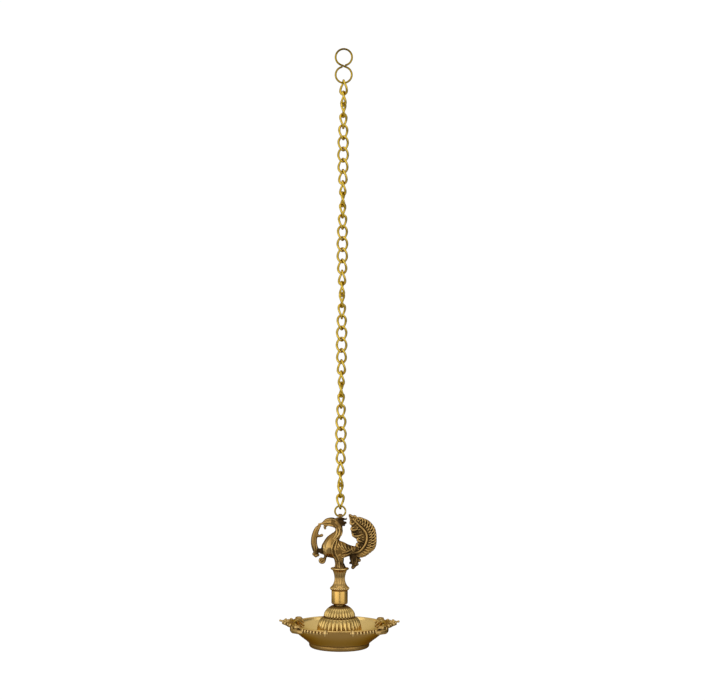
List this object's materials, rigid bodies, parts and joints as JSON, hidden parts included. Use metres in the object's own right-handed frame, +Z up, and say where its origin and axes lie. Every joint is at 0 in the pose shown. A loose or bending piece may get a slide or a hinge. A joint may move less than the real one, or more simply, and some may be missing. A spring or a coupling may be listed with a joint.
{
  "type": "hanging oil lamp",
  "caption": "Hanging brass oil lamp: a footed dish with a scrolled rim and a ribbed lotus dome, a bird finial on a turned stem, and a ring, twisted-link chain and wire hook to hang it by.",
  "frame": {"origin": "inside top of the hook's upper loop, where it bears on what it hangs from", "axes": "+Z up along the hanging chain, -X the way the bird looks, +Y away from the viewer of its side with the bill on the left"},
  "size_m": [0.0966, 0.0796, 0.464],
  "materials": {
    "cast_brass": "antique cast brass with dark patina in the recesses",
    "chain_brass": "worn bright wire",
    "bright_brass": "polished"
  },
  "bodies": {
    "hook": {"hanging_hook": "chain_brass"},
    "link_01": {"chain_link_01": "chain_brass"},
    "link_02": {"chain_link_02": "chain_brass"},
    "link_03": {"chain_link_03": "chain_brass"},
    "link_04": {"chain_link_04": "chain_brass"},
    "link_05": {"chain_link_05": "chain_brass"},
    "link_06": {"chain_link_06": "chain_brass"},
    "link_07": {"chain_link_07": "chain_brass"},
    "link_08": {"chain_link_08": "chain_brass"},
    "link_09": {"chain_link_09": "chain_brass"},
    "link_10": {"chain_link_10": "chain_brass"},
    "link_11": {"chain_link_11": "chain_brass"},
    "link_12": {"chain_link_12": "chain_brass"},
    "link_13": {"chain_link_13": "chain_brass"},
    "link_14": {"chain_link_14": "chain_brass"},
    "link_15": {"chain_link_15": "chain_brass"},
    "link_16": {"chain_link_16": "chain_brass"},
    "link_17": {"chain_link_17": "chain_brass"},
    "link_18": {"chain_link_18": "chain_brass"},
    "link_19": {"chain_link_19": "chain_brass"},
    "link_20": {"chain_link_20": "chain_brass"},
    "link_21": {"chain_link_21": "chain_brass"},
    "link_22": {"chain_link_22": "chain_brass"},
    "link_23": {"chain_link_23": "chain_brass"},
    "link_24": {"chain_link_24": "chain_brass"},
    "link_25": {"chain_link_25": "chain_brass"},
    "link_26": {"chain_link_26": "chain_brass"},
    "link_27": {"chain_link_27": "chain_brass"},
    "link_28": {"chain_link_28": "chain_brass"},
    "link_29": {"chain_link_29": "chain_brass"},
    "link_30": {"chain_link_30": "chain_brass"},
    "link_31": {"chain_link_31": "chain_brass"},
    "link_32": {"chain_link_32": "chain_brass"},
    "link_33": {"chain_link_33": "chain_brass"},
    "link_34": {"chain_link_34": "chain_brass"},
    "link_35": {"chain_link_35": "chain_brass"},
    "link_36": {"chain_link_36": "chain_brass"},
    "link_37": {"chain_link_37": "chain_brass"},
    "link_38": {"chain_link_38": "chain_brass"},
    "ring": {"lamp_ring": "cast_brass"},
    "lamp": {"bird_finial": "cast_brass", "coupling_sleeve": "bright_brass", "lotus_dome": "cast_brass", "oil_dish": "cast_brass", "centre_screw": "bright_brass", "seal_washer": "bright_brass"}
  },
  "joints": [
    {"name": "link_01_swing", "type": "hinge", "parent": "hook", "child": "link_01", "pos_m": [0, 0, -0.02564], "axis": [1, 0, 0], "range_deg": [-60, 60]},
    {"name": "link_02_swing", "type": "hinge", "parent": "link_01", "child": "link_02", "pos_m": [0, 0, -0.03246], "axis": [0.3635, 0.9316, 0], "range_deg": [-60, 60]},
    {"name": "link_03_swing", "type": "hinge", "parent": "link_02", "child": "link_03", "pos_m": [0, 0, -0.04328], "axis": [0.7357, -0.6773, 0], "range_deg": [-60, 60]},
    {"name": "link_04_swing", "type": "hinge", "parent": "link_03", "child": "link_04", "pos_m": [0, 0, -0.0498], "axis": [-0.8984, -0.4392, 0], "range_deg": [-60, 60]},
    {"name": "link_05_swing", "type": "hinge", "parent": "link_04", "child": "link_05", "pos_m": [0, 0, -0.06062], "axis": [-0.0826, 0.9966, 0], "range_deg": [-60, 60]},
    {"name": "link_06_swing", "type": "hinge", "parent": "link_05", "child": "link_06", "pos_m": [0, 0, -0.06714], "axis": [0.9584, -0.2853, 0], "range_deg": [-60, 60]},
    {"name": "link_07_swing", "type": "hinge", "parent": "link_06", "child": "link_07", "pos_m": [0, 0, -0.07796], "axis": [-0.6142, -0.7891, 0], "range_deg": [-60, 60]},
    {"name": "link_08_swing", "type": "hinge", "parent": "link_07", "child": "link_08", "pos_m": [0, 0, -0.08448], "axis": [-0.5119, 0.8591, 0], "range_deg": [-60, 60]},
    {"name": "link_09_swing", "type": "hinge", "parent": "link_08", "child": "link_09", "pos_m": [0, 0, -0.0953], "axis": [0.9864, 0.1646, 0], "range_deg": [-60, 60]},
    {"name": "link_10_swing", "type": "hinge", "parent": "link_09", "child": "link_10", "pos_m": [0, 0, -0.10182], "axis": [-0.2052, -0.9787, 0], "range_deg": [-60, 60]},
    {"name": "link_11_swing", "type": "hinge", "parent": "link_10", "child": "link_11", "pos_m": [0, 0, -0.11264], "axis": [-0.8372, 0.5469, 0], "range_deg": [-60, 60]},
    {"name": "link_12_swing", "type": "hinge", "parent": "link_11", "child": "link_12", "pos_m": [0, 0, -0.11916], "axis": [0.8138, 0.5811, 0], "range_deg": [-60, 60]},
    {"name": "link_13_swing", "type": "hinge", "parent": "link_12", "child": "link_13", "pos_m": [0, 0, -0.12998], "axis": [0.2455, -0.9694, 0], "range_deg": [-60, 60]},
    {"name": "link_14_swing", "type": "hinge", "parent": "link_13", "child": "link_14", "pos_m": [0, 0, -0.1365], "axis": [-0.9923, 0.1237, 0], "range_deg": [-60, 60]},
    {"name": "link_15_swing", "type": "hinge", "parent": "link_14", "child": "link_15", "pos_m": [0, 0, -0.14732], "axis": [0.4759, 0.8795, 0], "range_deg": [-60, 60]},
    {"name": "link_16_swing", "type": "hinge", "parent": "link_15", "child": "link_16", "pos_m": [0, 0, -0.15384], "axis": [0.6463, -0.7631, 0], "range_deg": [-60, 60]},
    {"name": "link_17_swing", "type": "hinge", "parent": "link_16", "child": "link_17", "pos_m": [0, 0, -0.16466], "axis": [-0.9458, -0.3247, 0], "range_deg": [-60, 60]},
    {"name": "link_18_swing", "type": "hinge", "parent": "link_17", "child": "link_18", "pos_m": [0, 0, -0.17118], "axis": [0.0413, 0.9991, 0], "range_deg": [-60, 60]},
    {"name": "link_19_swing", "type": "hinge", "parent": "link_18", "child": "link_19", "pos_m": [0, 0, -0.182], "axis": [0.9158, -0.4017, 0], "range_deg": [-60, 60]},
    {"name": "link_20_swing", "type": "hinge", "parent": "link_19", "child": "link_20", "pos_m": [0, 0, -0.18852], "axis": [-0.7071, -0.7071, 0], "range_deg": [-60, 60]},
    {"name": "link_21_swing", "type": "hinge", "parent": "link_20", "child": "link_21", "pos_m": [0, 0, -0.19934], "axis": [-0.4017, 0.9158, 0], "range_deg": [-60, 60]},
    {"name": "link_22_swing", "type": "hinge", "parent": "link_21", "child": "link_22", "pos_m": [0, 0, -0.20586], "axis": [0.9991, 0.0413, 0], "range_deg": [-60, 60]},
    {"name": "link_23_swing", "type": "hinge", "parent": "link_22", "child": "link_23", "pos_m": [0, 0, -0.21668], "axis": [-0.3247, -0.9458, 0], "range_deg": [-60, 60]},
    {"name": "link_24_swing", "type": "hinge", "parent": "link_23", "child": "link_24", "pos_m": [0, 0, -0.2232], "axis": [-0.7631, 0.6463, 0], "range_deg": [-60, 60]},
    {"name": "link_25_swing", "type": "hinge", "parent": "link_24", "child": "link_25", "pos_m": [0, 0, -0.23402], "axis": [0.8795, 0.4759, 0], "range_deg": [-60, 60]},
    {"name": "link_26_swing", "type": "hinge", "parent": "link_25", "child": "link_26", "pos_m": [0, 0, -0.24054], "axis": [0.1237, -0.9923, 0], "range_deg": [-60, 60]},
    {"name": "link_27_swing", "type": "hinge", "parent": "link_26", "child": "link_27", "pos_m": [0, 0, -0.25136], "axis": [-0.9694, 0.2455, 0], "range_deg": [-60, 60]},
    {"name": "link_28_swing", "type": "hinge", "parent": "link_27", "child": "link_28", "pos_m": [0, 0, -0.25788], "axis": [0.5811, 0.8138, 0], "range_deg": [-60, 60]},
    {"name": "link_29_swing", "type": "hinge", "parent": "link_28", "child": "link_29", "pos_m": [0, 0, -0.2687], "axis": [0.5469, -0.8372, 0], "range_deg": [-60, 60]},
    {"name": "link_30_swing", "type": "hinge", "parent": "link_29", "child": "link_30", "pos_m": [0, 0, -0.27522], "axis": [-0.9787, -0.2052, 0], "range_deg": [-60, 60]},
    {"name": "link_31_swing", "type": "hinge", "parent": "link_30", "child": "link_31", "pos_m": [0, 0, -0.28604], "axis": [0.1646, 0.9864, 0], "range_deg": [-60, 60]},
    {"name": "link_32_swing", "type": "hinge", "parent": "link_31", "child": "link_32", "pos_m": [0, 0, -0.29256], "axis": [0.8591, -0.5119, 0], "range_deg": [-60, 60]},
    {"name": "link_33_swing", "type": "hinge", "parent": "link_32", "child": "link_33", "pos_m": [0, 0, -0.30338], "axis": [-0.7891, -0.6142, 0], "range_deg": [-60, 60]},
    {"name": "link_34_swing", "type": "hinge", "parent": "link_33", "child": "link_34", "pos_m": [0, 0, -0.3099], "axis": [-0.2853, 0.9584, 0], "range_deg": [-60, 60]},
    {"name": "link_35_swing", "type": "hinge", "parent": "link_34", "child": "link_35", "pos_m": [0, 0, -0.32072], "axis": [0.9966, -0.0826, 0], "range_deg": [-60, 60]},
    {"name": "link_36_swing", "type": "hinge", "parent": "link_35", "child": "link_36", "pos_m": [0, 0, -0.32724], "axis": [-0.4392, -0.8984, 0], "range_deg": [-60, 60]},
    {"name": "link_37_swing", "type": "hinge", "parent": "link_36", "child": "link_37", "pos_m": [0, 0, -0.33806], "axis": [-0.6773, 0.7357, 0], "range_deg": [-60, 60]},
    {"name": "link_38_swing", "type": "hinge", "parent": "link_37", "child": "link_38", "pos_m": [0, 0, -0.34458], "axis": [0.9316, 0.3635, 0], "range_deg": [-60, 60]},
    {"name": "ring_swing", "type": "hinge", "parent": "link_38", "child": "ring", "pos_m": [0, 0, -0.3554], "axis": [0, 1, 0], "range_deg": [-60, 60]},
    {"name": "lamp_swing", "type": "hinge", "parent": "ring", "child": "lamp", "pos_m": [0, 0, -0.3617], "axis": [1, 0, 0], "range_deg": [-60, 60]}
  ]
}
